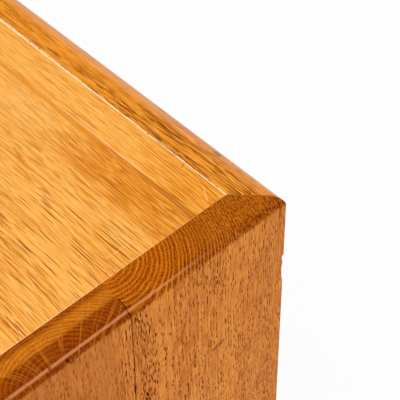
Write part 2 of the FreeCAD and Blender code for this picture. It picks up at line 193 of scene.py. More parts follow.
class Shader:
    """The nodes of a material or of the world, which is its owner."""

    def __init__(self, owner):
        self.owner = owner
        owner.use_nodes = True
        self.tree = owner.node_tree
        self.tree.nodes.clear()

    def add(self, kind, settings=None, sockets=None):
        node = self.tree.nodes.new(kind)
        for key, value in (settings or {}).items():
            setattr(node, key, value)
        for key, value in (sockets or {}).items():
            socket = node.inputs[key]
            if isinstance(value, Num):
                self.tree.links.new(value.socket, socket)
            elif isinstance(value, bpy.types.NodeSocket):
                self.tree.links.new(value, socket)
            else:
                socket.default_value = value
        return node

    def math(self, operation, first, second=None):
        sockets = {0: first} if second is None else {0: first, 1: second}
        return Num(self, self.add("ShaderNodeMath", {"operation": operation}, sockets).outputs[0])

    def vector(self, x, y, z):
        return self.add("ShaderNodeCombineXYZ", None, {0: x, 1: y, 2: z}).outputs[0]

    def mix(self, factor, first, second, blend="MIX"):
        """Colour between two colours; each is a socket or three numbers."""
        first, second = (c if isinstance(c, bpy.types.NodeSocket) else (*c, 1.0) for c in (first, second))
        node = self.add("ShaderNodeMix", {"data_type": "RGBA", "blend_type": blend, "clamp_factor": True},
                        {0: factor, 6: first, 7: second})
        return node.outputs[2]

    def layers(self, color, *layers):
        """Colour with thin layers over it, each with the factor by which it covers what is below."""
        for factor, over in layers:
            color = self.mix(factor, color, over)
        return color

    def noise(self, vector, detail=2.0, roughness=0.5):
        node = self.add("ShaderNodeTexNoise", None,
                        {"Vector": vector, "Scale": 1.0, "Detail": detail, "Roughness": roughness})
        return Num(self, node.outputs[0])

    def cells(self, vector):
        """Distance to the nearest of many scattered points, and a number of its own for each point."""
        node = self.add("ShaderNodeTexVoronoi", {"feature": "F1"}, {"Vector": vector, "Scale": 1.0})
        own = self.add("ShaderNodeSeparateColor", None, {0: node.outputs["Color"]})
        return Num(self, node.outputs["Distance"]), Num(self, own.outputs[0])

    def split(self, output):
        coordinates = self.add("ShaderNodeTexCoord")
        parts = self.add("ShaderNodeSeparateXYZ", None, {0: coordinates.outputs[output]})
        return [Num(self, part) for part in parts.outputs]

    def place(self):
        """Position on the piece in millimetres, as three numbers."""
        return [number * mm(1.0) for number in self.split("Object")]

    def facing(self):
        """Surface normal in the piece's own axes, as three numbers."""
        return self.split("Normal")

    def looked_at(self):
        """1 where the camera, a reflection or a view through glass meets the surface, 0 where light does."""
        ray = self.add("ShaderNodeLightPath").outputs
        seen = self.math("MAXIMUM", ray["Is Camera Ray"], ray["Is Glossy Ray"])
        return self.math("MAXIMUM", seen, ray["Is Transmission Ray"])

    def finish(self, color, roughness, height, depth, specular, coat=0.0, coat_roughness=0.2, metallic=0.0):
        """Principled surface; height times depth, in millimetres, is the relief."""
        bump = self.add("ShaderNodeBump", None, {"Strength": 1.0, "Distance": depth * MM, "Height": height})
        surface = self.add("ShaderNodeBsdfPrincipled", None, {
            "Base Color": color, "Roughness": roughness, "Metallic": metallic, "Normal": bump.outputs[0],
            "Specular IOR Level": specular, "Coat Weight": coat, "Coat Roughness": coat_roughness})
        self.add("ShaderNodeOutputMaterial", None, {"Surface": surface.outputs[0]})
        print(self.owner.name, len(self.tree.nodes), "shader nodes")
        return self.owner


def new_shader(name):
    return Shader(bpy.data.materials.new(name))


def srgb(red, green, blue):
    """Linear colour from the 0 to 255 values that an image editor shows."""
    def line(c):
        c /= 255.0
        return c / 12.92 if c <= 0.04045 else ((c + 0.055) / 1.055) ** 2.4
    return tuple(line(c) for c in (red, green, blue))


# %% [markdown]
# ## Light
#
# The studio is a white sweep.  Small lamps would draw hard shadows, so all three are large soft boxes.  One
# hangs high in front of the desk and lights the top.  A lower, narrower one stands off the right rear
# corner: it lights the end panel from the side, and its reflection brightens the roll.  A weak one fills in
# from the front left.  The world is white where the camera or a reflection sees it, and weaker as a light,
# so that the boards keep their deep colour.

# %% World and lamps
scene = bpy.context.scene
scene.view_settings.view_transform = "Standard"
FILL_STRENGTH = 0.60
LIT_POINT = Vector((0.0, 0.0, 0.6))


def soft_box(name, azimuth, elevation, distance, width, height, brightness):
    """Area lamp that looks at the desk; azimuth 0 stands behind it (+Y), 90 at its right end (+X)."""
    a, e = math.radians(azimuth), math.radians(elevation)
    away = Vector((math.sin(a) * math.cos(e), math.cos(a) * math.cos(e), math.sin(e)))
    lamp = bpy.data.lights.new(name, "AREA")
    lamp.shape = "RECTANGLE"
    lamp.size, lamp.size_y = width, height
    lamp.energy = brightness * width * height * math.pi
    lamp_object = bpy.data.objects.new(name, lamp)
    scene.collection.objects.link(lamp_object)
    turned = away.to_track_quat("Z", "Y").to_matrix().to_4x4()
    lamp_object.matrix_world = Matrix.Translation(LIT_POINT + away * distance) @ turned
    print(name, round(lamp.energy, 1), "W")


soft_box("lamp_overhead", azimuth=150, elevation=68, distance=3.4, width=3.2, height=2.4, brightness=2.3)
soft_box("lamp_right", azimuth=64, elevation=22, distance=3.6, width=2.0, height=0.9, brightness=3.2)
soft_box("lamp_front_left", azimuth=235, elevation=30, distance=4.0, width=2.4, height=2.0, brightness=0.8)

scene.world = bpy.data.worlds.new("studio")
sky = Shader(scene.world)
fill = sky.add("ShaderNodeBackground", None, {"Color": WHITE, "Strength": FILL_STRENGTH})
white = sky.add("ShaderNodeBackground", None, {"Color": WHITE, "Strength": 1.0})
choice = sky.add("ShaderNodeMixShader", None, {0: sky.looked_at(), 1: fill.outputs[0], 2: white.outputs[0]})
sky.add("ShaderNodeOutputWorld", None, {"Surface": choice.outputs[0]})

# %% [markdown]
# ## Grain
#
# A flat pattern on each face would break at every edge.  A real board is cut from a tree, so its grain is
# made as a solid thing: rings round the pith, pores that run along the trunk and rays that run out from the
# pith.  The formula works in the tree's own directions: `along` is the distance along the trunk, and `u`
# and `v` lie across it, with the pith at 0, 0.  It gives dashes on a face and rings on an end, and they meet
# at every edge.

# %% Grain of a tree
CROSS = {"x": (0, 1, 2), "y": (1, 0, 2), "z": (2, 0, 1)}


def grain(shader, along, u, v, pitch=2.2, tighten=0.0, pore_size=0.8, pore_length=24.0, line_length=30.0,
          line_size=0.8, pore_width=0.14, ring_pores=0.10, sway=1.0):
    """Rings, pores, rays and fibres at a place in the tree; everything is in millimetres."""
    bend = shader.noise(shader.vector(u / 45.0, v / 45.0, along / 190.0), 2.0) - 0.5
    drift = shader.noise(shader.vector(u / 18.0 + 31.0, v / 18.0, along / 90.0), 2.0) - 0.5
    u = u + bend * (7.0 * sway) + drift * (2.6 * sway)
    v = v + drift * (2.6 * sway)
    radius = (u * u + v * v).root()
    angle = shader.math("ARCTAN2", v, u)
    uneven = shader.noise(shader.vector(radius / 7.0, 3.0, 7.0), 1.0)
    wander = shader.noise(shader.vector(u / 5.0, v / 5.0, along / 60.0), 1.0)
    ring = (radius * (radius * tighten + 1.0) / pitch + uneven * 1.2 + wander * 0.5).fract()
    early = ring.ramp(0.0, 0.12) * ring.ramp(0.60, 0.30)
    distance, own = shader.cells(shader.vector(u / pore_size, v / pore_size, along / pore_length))
    reach = early * ring_pores + pore_width + own * 0.16
    wide = shader.noise(shader.vector(angle * 17.0, radius / 60.0, along / 40.0), 1.0)
    return {
        "ring": ring, "late": ring.near(0.82, 0.05, 0.14), "years": uneven,
        "pores": ((reach - distance) * 9.0).ramp(0.0, 1.0) * own.ramp(0.0, 0.8, 0.35, 1.0),
        "rays": abs(wide - 0.5).ramp(0.040, 0.010),
        "fibre": shader.noise(shader.vector(u / 0.42, v / 0.42, along / 9.0), 1.0),
        "line": shader.noise(shader.vector(u / line_size, v / line_size, along / line_length), 3.0, 0.7),
        "streak": shader.noise(shader.vector(u / 3.0, v / 3.0, along / 110.0), 2.0, 0.6),
        "cloud": shader.noise(shader.vector(u / 17.0, v / 17.0, along / 110.0), 2.0, 0.6),
    }


# %% [markdown]
# ## Oak with its finish
#
# Old lacquer has turned the oak orange, and pores and fine lines hold more of the colour.  A single ramp
# from light to dark would make every board alike, so the colour is built like a stain, in thin layers whose
# colours and factors are a board's look.  End grain drinks more and is much darker.  It shows where the
# surface's normal points along the trunk; a ragged threshold lets the fibres run out unevenly on a roll.

# %% Colours of oak
OAK = {
    "light": srgb(254, 184, 88), "deep": srgb(248, 170, 68), "warm": srgb(232, 142, 34),
    "pale": srgb(255, 206, 122), "line": srgb(212, 118, 14), "pore": srgb(146, 56, 0),
    "end": srgb(186, 96, 2), "end_deep": srgb(142, 54, 0), "end_line": srgb(218, 136, 30),
    "end_pore": srgb(84, 24, 0), "end_ray": srgb(222, 142, 30),
    "streaks": 0.8, "figure": 0.3, "clouds": 0.6, "fibres": 0.5, "lines": 0.8, "pores": 0.85,
    "end_rings": 0.7, "end_pores": 0.85, "end_rays": 0.3, "end_matt": 0.95,
    "roughness": 0.42, "relief": 0.06, "specular": 0.02, "coat": 0.22, "coat_roughness": 0.22, "grain": {},
}


def like(base, **changes):
    """Look of another board, with some of its values changed."""
    return {**base, **changes}


def face_color(shader, wood, look):
    patch = wood["cloud"].ramp(0.30, 0.62, 0.5, 1.0)
    return shader.layers(
        look["light"],
        (wood["streak"].ramp(0.32, 0.68) * look["streaks"], look["deep"]),
        (wood["cloud"].ramp(0.40, 0.66) * look["clouds"], look["warm"]),
        (wood["ring"].near(0.30, 0.12, 0.24) * look["figure"], look["warm"]),
        (wood["fibre"].ramp(0.48, 0.68) * look["fibres"], look["pale"]),
        (wood["line"].ramp(0.47, 0.60) * patch * look["lines"], look["line"]),
        (wood["pores"] * look["pores"], look["pore"]))


def end_color(shader, wood, look):
    rings = wood["streak"].ramp(0.36, 0.64, 0.35, 1.0) * look["end_rings"]
    return shader.layers(
        look["end"],
        (wood["years"].ramp(0.36, 0.60) * 0.8, look["end_deep"]),
        (wood["cloud"].ramp(0.40, 0.60) * 0.5, look["end_deep"]),
        (wood["ring"].near(0.30, 0.10, 0.20) * rings, look["end_deep"]),
        (wood["late"] * rings, look["end_line"]),
        (wood["fibre"].ramp(0.50, 0.68) * 0.6, look["end_line"]),
        (wood["pores"] * look["end_pores"], look["end_pore"]),
        (wood["rays"] * look["end_rays"], look["end_ray"]))


# %% A board of oak


def staves(coordinate, joints, values):
    """Number that changes at each joint of a board that is glued up from several pieces."""
    total = values[0]
    for joint, before, after in zip(joints, values, values[1:]):
        total = coordinate.above(joint) * (after - before) + total
    return total


def oak(name, axis, pith, look, marks=(), joints=(), shifts=()):
    """Lacquered oak.  axis is the grain's axis and pith the tree's middle across it, in millimetres.
    A board glued up from staves has joints between them, and a pith and a shift along the tree for each.
    Each function in marks changes the board's state before it becomes a material."""
    shader = new_shader(name)
    place = shader.place()
    i, j, k = CROSS[axis]
    along, middle = place[i], pith
    if joints:
        middle = [staves(place[1], joints, [each[n] for each in pith]) for n in (0, 1)]
        along = along + staves(place[1], joints, shifts)
    wood = grain(shader, along, place[j] - middle[0], place[k] - middle[1], **look["grain"])
    ragged = (wood["line"] - 0.5) * 2.6 + 1.0
    ended = (abs(shader.facing()[i]) * ragged).ramp(0.05, 0.34)
    glazed = (1.0 - wood["line"].ramp(0.46, 0.58) * 0.8) * (1.0 - wood["pores"] * 0.9)
    state = {
        "shader": shader, "place": place, "wood": wood,
        "face": face_color(shader, wood, look), "end": end_color(shader, wood, look),
        "height": wood["fibre"] * 0.10 - wood["line"].ramp(0.46, 0.66) * 0.25 - wood["pores"],
        "coat": (1.0 - ended * look["end_matt"]) * glazed * look["coat"],
    }
    for mark in marks:
        mark(state)
    roughness = wood["fibre"] * 0.15 + wood["pores"] * 0.25 + look["roughness"]
    return shader.finish(shader.mix(ended, state["face"], state["end"]), roughness, state["height"],
                         look["relief"], look["specular"], state["coat"], look["coat_roughness"])


# %% [markdown]
# ## Modelling helpers
#
# The new boards are made as by hand: a cube at the board's size, edges rounded with Bevel, joints cut with
# Boolean modifiers that are applied at once.  A list of points could make them too, but would hide what was
# done.  Edges are picked by place and direction, which keeps on working when the desk changes size.

# %% Boards and copies


def pick(piece):
    """Makes one piece the only selected and active one, in object mode."""
    if bpy.context.object and bpy.context.object.mode != "OBJECT":
        bpy.ops.object.mode_set(mode="OBJECT")
    bpy.ops.object.select_all(action="DESELECT")
    piece.select_set(True)
    bpy.context.view_layer.objects.active = piece


def settled():
    """The piece just added, with its place, turn and size moved into its mesh."""
    bpy.ops.object.transform_apply(location=True, rotation=True, scale=True)
    return bpy.context.object


def modify(piece, name, kind, **settings):
    """Gives the active piece a modifier and applies it at once."""
    step = piece.modifiers.new(name, kind)
    for key, value in settings.items():
        setattr(step, key, value)
    bpy.ops.object.modifier_apply(modifier=step.name)


def board(name, low, high):
    """Square board between two corners."""
    low, high = Vector(low), Vector(high)
    bpy.ops.object.select_all(action="DESELECT")
    bpy.ops.mesh.primitive_cube_add(size=1.0, location=(low + high) / 2.0, scale=high - low)
    piece = settled()
    piece.name = piece.data.name = name
    return piece


def duplicate(piece, name):
    copy = piece.copy()
    copy.data = piece.data.copy()
    copy.name = copy.data.name = name
    scene.collection.objects.link(copy)
    return copy


# %% Rounded edges, cuts and smooth shading
WELD = 0.005 * MM


def edit(piece, kind, wanted):
    """Enters edit mode with the edges or faces selected whose middle and direction or normal are wanted."""
    pick(piece)
    bpy.ops.object.mode_set(mode="EDIT")
    bpy.ops.mesh.select_mode(type=kind)
    bpy.ops.mesh.select_all(action="DESELECT")
    shape = bmesh.from_edit_mesh(piece.data)
    if kind == "EDGE":
        for edge in shape.edges:
            start, end = (vertex.co for vertex in edge.verts)
            edge.select_set(wanted((start + end) / 2.0, (end - start).normalized()))
    else:
        for face in shape.faces:
            face.select_set(wanted(face.calc_center_median(), face.normal))
    bmesh.update_edit_mesh(piece.data)


def round_edges(piece, radius, segments, wanted):
    edit(piece, "EDGE", wanted)
    bpy.ops.mesh.bevel(offset=radius, offset_type="OFFSET", segments=segments, profile=0.5,
                       affect="EDGES", clamp_overlap=False)
    bpy.ops.object.mode_set(mode="OBJECT")


def shape_with(piece, other, operation):
    """Boolean of two pieces.  The other one is used up, and the slivers that a cut can leave are welded."""
    pick(piece)
    modify(piece, "joint", "BOOLEAN", operation=operation, solver="EXACT", object=other)
    bpy.data.objects.remove(other)
    bpy.ops.object.mode_set(mode="EDIT")
    bpy.ops.mesh.select_all(action="SELECT")
    bpy.ops.mesh.remove_doubles(threshold=WELD)
    bpy.ops.mesh.dissolve_degenerate(threshold=WELD)
    bpy.ops.object.mode_set(mode="OBJECT")
    return piece


def smooth(piece, degrees=35.0):
    """Smooth shading with flat faces kept flat."""
    pick(piece)
    bpy.ops.object.shade_smooth_by_angle(angle=math.radians(degrees))
    modify(piece, "flat_faces", "WEIGHTED_NORMAL", keep_sharp=True)


# %% [markdown]
# ## The rolled frame
#
# On the real desk the two end panels, the front rail and the back apron are glued up first and the cutter
# then runs all the way round, so all four share one outer form.  Four boards with rolls of their own would
# meet only nearly at the mitres.  The form is therefore made once: a block with the roll on its ends, one
# with the roll on its long edges, and one with the eased upright corners, intersected.

# %% Outer form
ROLL_RADIUS = 8.0 * MM
ARRIS_RADIUS = 0.4 * MM
ROLL_SEGMENTS = 24
SLACK = 10.0 * MM


def upper(middle, top=TOP_Z):
    return middle.z > top - MM


def outer_form():
    low, high = Vector((-OUT_X, FRONT_Y, FOOT_Z)), Vector((OUT_X, OUT_Y, TOP_Z))
    block = board("outer_form", low, high)
    round_edges(block, ARRIS_RADIUS, 3, lambda middle, way: abs(way.z) > 0.9)
    ends = board("ends", low - Vector((0, SLACK, SLACK)), high + Vector((0, SLACK, 0)))
    round_edges(ends, ROLL_RADIUS, ROLL_SEGMENTS, lambda middle, way: abs(way.y) > 0.9 and upper(middle))
    sides = board("sides", low - Vector((SLACK, 0, SLACK)), high + Vector((SLACK, 0, 0)))
    round_edges(sides, ROLL_RADIUS, ROLL_SEGMENTS, lambda middle, way: abs(way.x) > 0.9 and upper(middle))
    for other in (ends, sides):
        shape_with(block, other, "INTERSECT")
    return block


form = outer_form()
print("outer form", len(form.data.polygons), "faces")

# %% [markdown]
# ## Rail and apron
#
# The rail and the apron are mitred into the end panels.  A mitred blank is a board whose inner face is drawn
# in by the border's width at both ends.  Intersected with a copy of the form it is the member.  The inner
# edge, where the member meets the top, is eased as with a stroke of sandpaper.

# %% Rail and apron
EASED = 0.45 * MM


def mitred_blank(y_inner, y_outer, z_low):
    """Board between the end panels, longer at its outer face, and past the form there and above."""
    outward = 1.0 if y_outer > y_inner else -1.0
    y_past = y_outer + outward * SLACK
    long_half = OUT_X + SLACK
    low = Vector((-long_half, min(y_inner, y_past), z_low))
    high = Vector((long_half, max(y_inner, y_past), TOP_Z + SLACK))
    blank = board("blank", low, high)
    edit(blank, "FACE", lambda middle, normal: normal.y * outward < -0.9)
    bpy.ops.transform.resize(value=(IN_X / long_half, 1.0, 1.0), center_override=(0.0, y_inner, 0.0))
    bpy.ops.object.mode_set(mode="OBJECT")
    return blank


def frame_member(name, y_inner, y_outer, z_low):
    piece = shape_with(duplicate(form, name), mitred_blank(y_inner, y_outer, z_low), "INTERSECT")
    round_edges(piece, EASED, 2, lambda middle, way: (
        abs(way.x) > 0.9 and upper(middle) and abs(middle.y - y_inner) < MM))
    print(name, len(piece.data.polygons), "faces")
    return piece


apron = frame_member("apron_rolled", IN_Y, OUT_Y, apron_low.z)
rail = frame_member("rail_rolled", RAIL_Y, FRONT_Y, rail_low.z)

# %% [markdown]
# ## End panels
#
# Each end panel is one slab from its foot to the top, with a notch for the rail and one for the apron.  Its
# outside comes from the same form, and the notches are cut by the same mitred blanks that made the members,
# so both sides of a mitre lie on one plane.

# %% End panels


def end_panel(name, side):
    x_inner, x_outer = sorted((side * IN_X, side * (OUT_X + SLACK)))
    low = Vector((x_inner, FRONT_Y - SLACK, FOOT_Z - SLACK))
    high = Vector((x_outer, OUT_Y + SLACK, TOP_Z + SLACK))
    piece = shape_with(duplicate(form, name), board("slab", low, high), "INTERSECT")
    shape_with(piece, mitred_blank(IN_Y, OUT_Y, apron_low.z), "DIFFERENCE")
    shape_with(piece, mitred_blank(RAIL_Y, FRONT_Y, rail_low.z), "DIFFERENCE")
    round_edges(piece, EASED / 2.0, 2, lambda middle, way: (
        abs(way.y) > 0.9 and upper(middle) and abs(middle.x - side * IN_X) < MM))
    print(name, len(piece.data.polygons), "faces")
    return piece


panel_right = end_panel("end_panel_right_rolled", 1)
panel_left = end_panel("end_panel_left_rolled", -1)

# %% [markdown]
# ## The open joint
#
# The rearmost glue joint of the right panel has opened: a hairline that starts at the roll, runs down the
# outer face, not quite straight, and closes again.  A painted line would stay flat in side light, so it is
# cut.  The cutter is a thin plate whose points are moved to follow the joint.  A smaller rolled block is
# taken away from it, so that what is left follows the surface at one depth.

# %% Open joint
FIRST_JOINT = -84.4
JOINT_BEND = -0.00038
GROOVE = {"width": 0.26 * MM, "depth": 1.3 * MM, "start": 13.3 * MM, "length": 140.0 * MM,
          "closing": 0.4, "least_open": 0.15}


def crack_middle(z, wave):
    """Place of the open joint behind the inner corner at a height from the top, in millimetres."""
    return z * z * JOINT_BEND + FIRST_JOINT + wave


def crack_wave(z):
    return 0.18 * math.sin(z / 3.1) + 0.10 * math.sin(z / 1.3 + 1.0)


def joint_cutter():
    x_low, x_high = IN_X + GROOVE["start"], OUT_X + SLACK
    z_low, z_high = TOP_Z - GROOVE["length"], TOP_Z + SLACK
    bpy.ops.object.select_all(action="DESELECT")
    bpy.ops.mesh.primitive_grid_add(x_subdivisions=1, y_subdivisions=100, size=1.0)
    bpy.ops.transform.rotate(value=math.pi / 2, orient_axis="X", center_override=(0, 0, 0))
    plate = bpy.context.object
    plate.scale = (x_high - x_low, z_high - z_low, 1.0)
    plate.location = ((x_low + x_high) / 2.0, 0.0, (z_low + z_high) / 2.0)
    modify(settled(), "width", "SOLIDIFY", thickness=GROOVE["width"], offset=0.0)
    for vertex in plate.data.vertices:
        below = mm(vertex.co.z - TOP_Z)
        from_foot = (vertex.co.z - z_low) / (GROOVE["closing"] * GROOVE["length"])
        middle = crack_middle(min(below, 0.0), crack_wave(below)) * MM
        vertex.co.y = IN_Y + middle + vertex.co.y * min(1.0, from_foot + GROOVE["least_open"])
    core_top = TOP_Z - GROOVE["depth"]
    core = board("core", (0.0, FRONT_Y, FOOT_Z), (OUT_X - GROOVE["depth"], OUT_Y, core_top))
    round_edges(core, ROLL_RADIUS - GROOVE["depth"], 12, lambda middle, way: (
        abs(way.y) > 0.9 and upper(middle, core_top) and middle.x > IN_X))
    return shape_with(plate, core, "DIFFERENCE")


shape_with(panel_right, joint_cutter(), "DIFFERENCE")
print("end panel with its open joint:", len(panel_right.data.polygons), "faces")

# %% [markdown]
# ## The chipped corner
#
# A knock has taken a chip off the upright corner, abrupt at its top and shallow below.  It crosses the joint
# between panel and apron, so the same cutters go through both.  They are balls, because wood breaks in a
# hollow, each stretched by other amounts up and down, and dented by waves to make the break uneven.

# %% Chips in the upright corner
CHIPS = (
    {"depth": 49.4, "reach_up": 2.4, "reach_down": 9.0, "radius": 3.2, "bite": 1.5},
    {"depth": 60.0, "reach_up": 9.0, "reach_down": 14.0, "radius": 3.0, "bite": 1.4})


def chip_cutter(depth, reach_up, reach_down, radius, bite):
    """Dented ball at a depth below the top that bites into the corner along its diagonal, in millimetres."""
    out = (radius - bite) / math.sqrt(2.0)
    place = Vector((OUT_X + out * MM, OUT_Y + out * MM, TOP_Z - depth * MM))
    bpy.ops.object.select_all(action="DESELECT")
    bpy.ops.mesh.primitive_ico_sphere_add(subdivisions=3, radius=radius * MM, location=place)
    ball = settled()
    for vertex in ball.data.vertices:
        way = vertex.co - place
        way.z *= (reach_up if way.z > 0.0 else reach_down) / radius
        dent = math.sin(mm(way.z) / 1.7) * 0.05 + math.sin(mm(way.x) / 0.9) * 0.04
        vertex.co = place + way * (1.0 + dent)
    return ball


for chip in CHIPS:
    for piece in (panel_right, apron):
        shape_with(piece, chip_cutter(**chip), "DIFFERENCE")
print("chipped panel and apron:", len(panel_right.data.polygons), len(apron.data.polygons), "faces")

# %% [markdown]
# ## Oak of the end panels
#
# The panels are glued up from six staves, so each stave gets a pith and a shift of its own along the tree.
# Their end grain is the dark border of the top: darkest on the roll, mottled by the corner, streaked on the
# second stave.  Marks too small to cut are painted.  A dull bright line follows the roll, where the lacquer
# shines: more coat there gives real gloss, and a lighter colour in a narrow band is a painted highlight.

# %% Staves and places on the panels
STAVE_JOINTS = [mm(OUT_Y) - d for d in (530.0, 430.0, 330.0, 215.0, 107.0)]
STAVE_PITHS = [(mm(IN_X) + x, mm(OUT_Y) - d) for x, d in (
    (50.0, 575.0), (-25.0, 480.0), (60.0, 380.0), (-30.0, 265.0), (38.0, 154.0), (-10.2, 98.5))]
STAVE_SHIFTS = [0.0, 310.0, -170.0, 95.0, -60.0, 0.0]
SECOND_JOINT = -193.0
HOLE, PIT = (-76.3, -68.8), (-14.4, -3.4)
KNOCK = (-23.2, -83.2), (-31.9, -85.2)
SLIT = (17.6, -3.0), (17.0, -14.0)
SPOT = (-122.9, -3.4), (-122.7, -5.2)
print(len(STAVE_PITHS), "staves in each end panel, joints at y", [round(y, 1) for y in STAVE_JOINTS])


def from_corner(state):
    """Distances from the inner corner of the border, in millimetres."""
    x, y, z = state["place"]
    return x - mm(IN_X), y - mm(IN_Y), z - mm(TOP_Z)


# %% Grain and wear of the panels


def panel_end(state):
    """Border of the top: yellower away from the corner, then the roll, the mottling and the second stave."""
    shader, wood = state["shader"], state["wood"]
    x, y, z = from_corner(state)
    roll = z.ramp(-0.2, -1.6)
    second = y.ramp(FIRST_JOINT + 0.4, FIRST_JOINT - 0.4)
    rays = wood["rays"] * (roll * 0.5 + second).ramp(0.0, 1.0)
    mottle = shader.noise(shader.vector(x / 2.4, y / 1.1, z / 2.4), 2.0, 0.7)
    mottled = shader.mix(mottle.ramp(0.43, 0.57), srgb(112, 36, 0), srgb(200, 116, 22))
    state["end"] = shader.layers(
        shader.mix(y.ramp(-25.0, -60.0), state["end"], (1.13, 1.1, 0.8), "MULTIPLY"),
        (roll * y.ramp(-60.0, -25.0, 0.4, 0.65), srgb(118, 38, 0)),
        (y.ramp(-44.0, -12.0) * 0.48, mottled),
        (second * x.ramp(8.5, 13.0) * 0.65, srgb(116, 34, 0)),
        (roll * wood["late"] * y.near(-44.0, 20.0, 18.0) * 0.6, srgb(220, 134, 44)),
        (rays * 0.3, srgb(220, 138, 36)),
        (second * x.near(2.2, 1.4, 1.6) * 0.45, srgb(126, 46, 0)),
        (second * x.near(7.0, 2.5, 2.5) * 0.3, srgb(222, 136, 36)))


def panel_face(state):
    """Outer face: redder on the second stave and by the corner, with faint patches."""
    shader = state["shader"]
    _, y, z = from_corner(state)
    plain = y.ramp(-98.0, -88.0, 0.45, 1.0) * y.ramp(14.0, -14.0, 0.8, 1.0)
    plain = plain + y.ramp(SECOND_JOINT + 1.0, SECOND_JOINT - 1.0) * 0.4
    patches = shader.noise(shader.vector(y / 3.0, z / 16.0, 4.0), 2.0)
    state["face"] = shader.layers(
        state["face"],
        (1.0 - plain, srgb(184, 100, 32)),
        (patches.ramp(0.45, 0.62) * 0.35, srgb(176, 88, 30)))


def panel_wear_and_highlight(state):
    """The open joint and the knocks of the right panel, and the painted highlight on the roll."""
    shader = state["shader"]
    x, y, z = from_corner(state)
    here = x.above(0.0)
    wave = shader.noise(shader.vector(2.0, 8.0, z / 7.0), 2.0) - 0.5
    away = y - crack_middle(z, wave * 1.2)
    width = z.near(-66.0, 1.5, 2.5) * 0.45 + z.ramp(-20.0, -60.0, 0.17, 0.27)
    reach = x.above(mm(GROOVE["start"]) - 0.1) * z.ramp(-150.0, -110.0)
    knocks = stroke(y, z, *KNOCK, 0.7, 0.6) * 0.6 + oval(y, z, HOLE, (1.0, 0.6), 1.3, 0.5) * 0.8
    knocks = knocks + oval(y, z, PIT, (3.0, 0.3), 0.9, 0.4)
    knocks = knocks + stroke(y, z, *SLIT, 0.3, 0.5) * 0.6 + stroke(y, z, *SPOT, 0.35, 0.5) * 0.9
    worn = (width - abs(away)).ramp(-0.22, 0.06) * reach * here + knocks * here

    # Painted highlight: a lighter colour in a narrow band on the roll, where the right lamp is mirrored; the
    # extra coat there is real gloss.
    ridge_highlight = z.ramp(-1.9, -2.3) * z.ramp(y.ramp(-95.0, -160.0, -3.6, -4.1), -2.9) * y.ramp(-18.0, -78.0)
    broken = shader.noise(shader.vector(y / 7.0, z / 0.8, 11.0), 2.0).ramp(0.34, 0.48, 0.5, 1.0)
    ridge_highlight = ridge_highlight * broken * (1.0 - y.near(-132.0, 0.5, 0.8) * 0.8)
    state["face"] = shader.layers(state["face"], (worn, srgb(92, 28, 4)))
    # The last layer on the end grain is the painted highlight on the roll.
    state["end"] = shader.layers(state["end"], (worn, srgb(70, 20, 0)), (ridge_highlight * 0.65, srgb(208, 122, 44)))
    state["coat"] = state["coat"] + ridge_highlight * 0.38


PANEL = like(
    OAK, light=srgb(234, 148, 54), deep=srgb(224, 134, 40), warm=srgb(210, 116, 26), pale=srgb(240, 160, 66),
    line=srgb(166, 76, 6), pore=srgb(92, 20, 0), lines=0.7, streaks=0.5, clouds=0.4, pores=1.0, end_rays=0.0,
    coat=0.18, coat_roughness=0.12,
    grain=dict(pitch=3.6, tighten=0.0095, pore_size=0.82, pore_length=4.8, pore_width=0.17, ring_pores=0.22,
               line_size=0.6, line_length=12.0, sway=0.75))
oak_panel = oak("oak_end_panel", "z", STAVE_PITHS, PANEL, (panel_end, panel_face, panel_wear_and_highlight),
                STAVE_JOINTS, STAVE_SHIFTS)
oak_side = oak("oak_pedestal_side", "z", (mm(IN_X), 640.0), PANEL)

# %% [markdown]
# ## Oak of the top
#
# The top is a wide board with wavy grain and a narrow, straight-grained strip beside the apron.  The grain
# of a shared material would run on across the seam, so each has its own, with its own pith and rings.  Near
# the corner the colour is deeper and more streaked.  The seam is dark by the corner and lighter further on,
# the joint to the apron holds pale dust and is painted paler still as a highlight along its edge, and a few
# scratches show.

# %% Field and strip of the top
FIELD_SCRATCH = (-10.2, -71.7), (-9.7, -53.8)
STRIP_SCRATCH = (-13.0, -4.5), (-3.2, -10.2)
TICK = (-31.4, -0.9), (-30.3, -3.7)


def field_marks(state):
    shader, wood = state["shader"], state["wood"]
    x, y, _ = from_corner(state)
    # Deeper, more streaked colour towards the corner.
    deeper = y.near(-33.0, 6.0, 16.0) * x.ramp(-120.0, -50.0)
    light_line = shader.noise(shader.vector(x / 14.0, y / 0.8, 5.0), 1.0) * y.near(-44.0, 14.0, 12.0)
    calm = x.near(-175.0, 40.0, 60.0) * y.near(-50.0, 50.0, 60.0)
    # Pale line on the field's edge at the end panel: a worn arris, painted paler as a highlight where the
    # edge catches the light.
    worn_edge_and_highlight = x.ramp(-0.7, -0.3) * y.ramp(-60.0, -110.0, 0.15, 0.5)
    state["face"] = shader.layers(
        state["face"],
        (deeper * 0.6, srgb(234, 140, 4)),
        (deeper * wood["line"].ramp(0.46, 0.56) * 0.65, srgb(174, 84, 0)),
        (light_line.ramp(0.58, 0.68) * 0.3, srgb(250, 192, 124)),
        (wood["pores"] * calm * 0.6, srgb(246, 174, 78)),
        (calm * 0.18, srgb(255, 190, 100)),
        (stroke(x, y, *FIELD_SCRATCH, 0.1, 0.3) * 0.35, srgb(255, 214, 150)),
        (y.near(SEAM - 1.2, 0.7, 1.6) * x.ramp(-60.0, -85.0) * 0.7, srgb(224, 134, 24)),
        (y.near(SEAM - 0.6, 0.8, 1.2) * x.ramp(-58.0, -24.0) * 0.5, srgb(166, 78, 0)),
        (y.near(SEAM - 1.6, 1.2, 1.0) * x.near(-56.0, 16.0, 14.0) * 0.3, srgb(190, 98, 4)),
        (worn_edge_and_highlight, srgb(255, 206, 150)))


